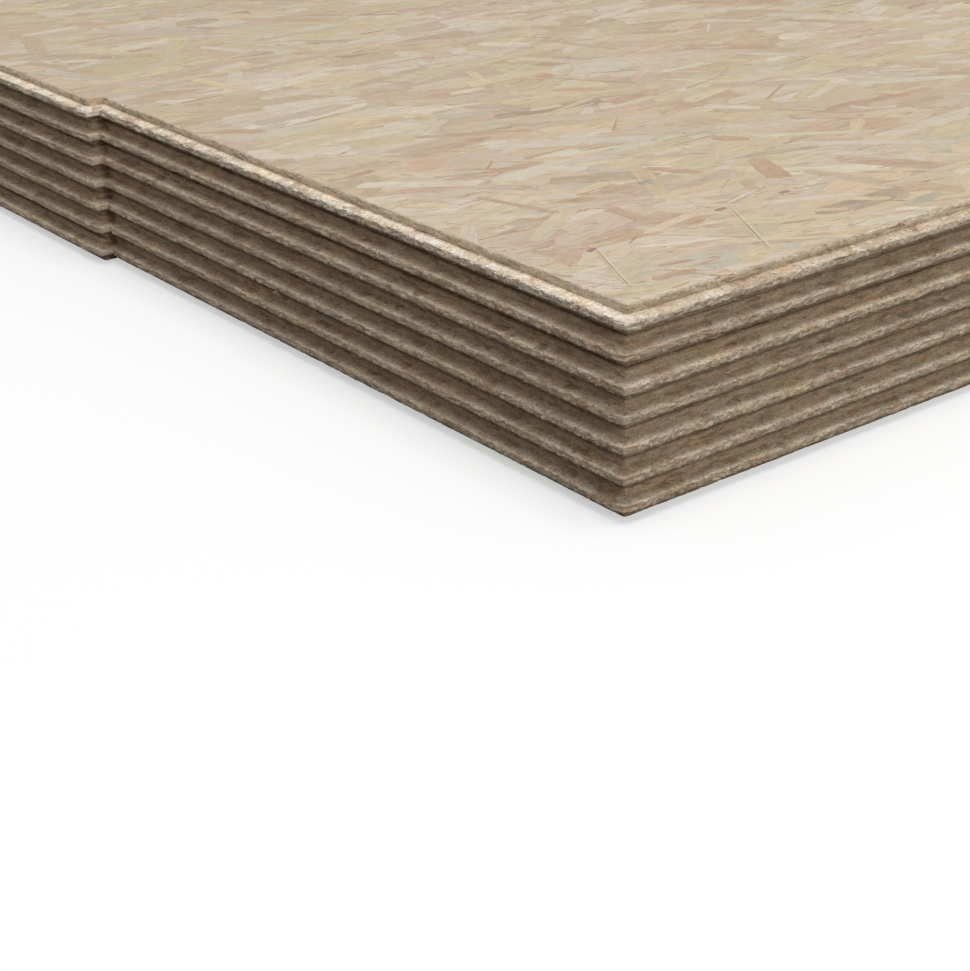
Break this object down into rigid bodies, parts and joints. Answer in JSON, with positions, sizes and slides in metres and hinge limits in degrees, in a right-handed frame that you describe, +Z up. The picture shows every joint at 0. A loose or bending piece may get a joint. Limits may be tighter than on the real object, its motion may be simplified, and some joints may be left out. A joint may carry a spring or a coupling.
{
  "type": "stack of osb panels",
  "caption": "Stack of flat oriented strand boards in two rows side by side, with tongue-and-groove edges and the tongues of one row seated in the grooves of the other.",
  "frame": {"origin": "bottom centre of the whole stack, on the floor that it lies on", "axes": "+X along the boards' long sides, away from their end tongues; +Y across the boards, away from their long-side tongues; +Z up through the layers"},
  "size_m": [2.4614, 1.1908, 0.126],
  "materials": {
    "osb": "satin pressed strands with a thin wax film, raw milled edges"
  },
  "bodies": {
    "root": {"near_board_1": "osb", "near_board_2": "osb", "near_board_3": "osb", "near_board_4": "osb", "near_board_5": "osb", "near_board_6": "osb", "near_board_7": "osb", "far_board_1": "osb", "far_board_2": "osb", "far_board_3": "osb", "far_board_4": "osb", "far_board_5": "osb", "far_board_6": "osb", "far_board_7": "osb"}
  },
  "joints": []
}
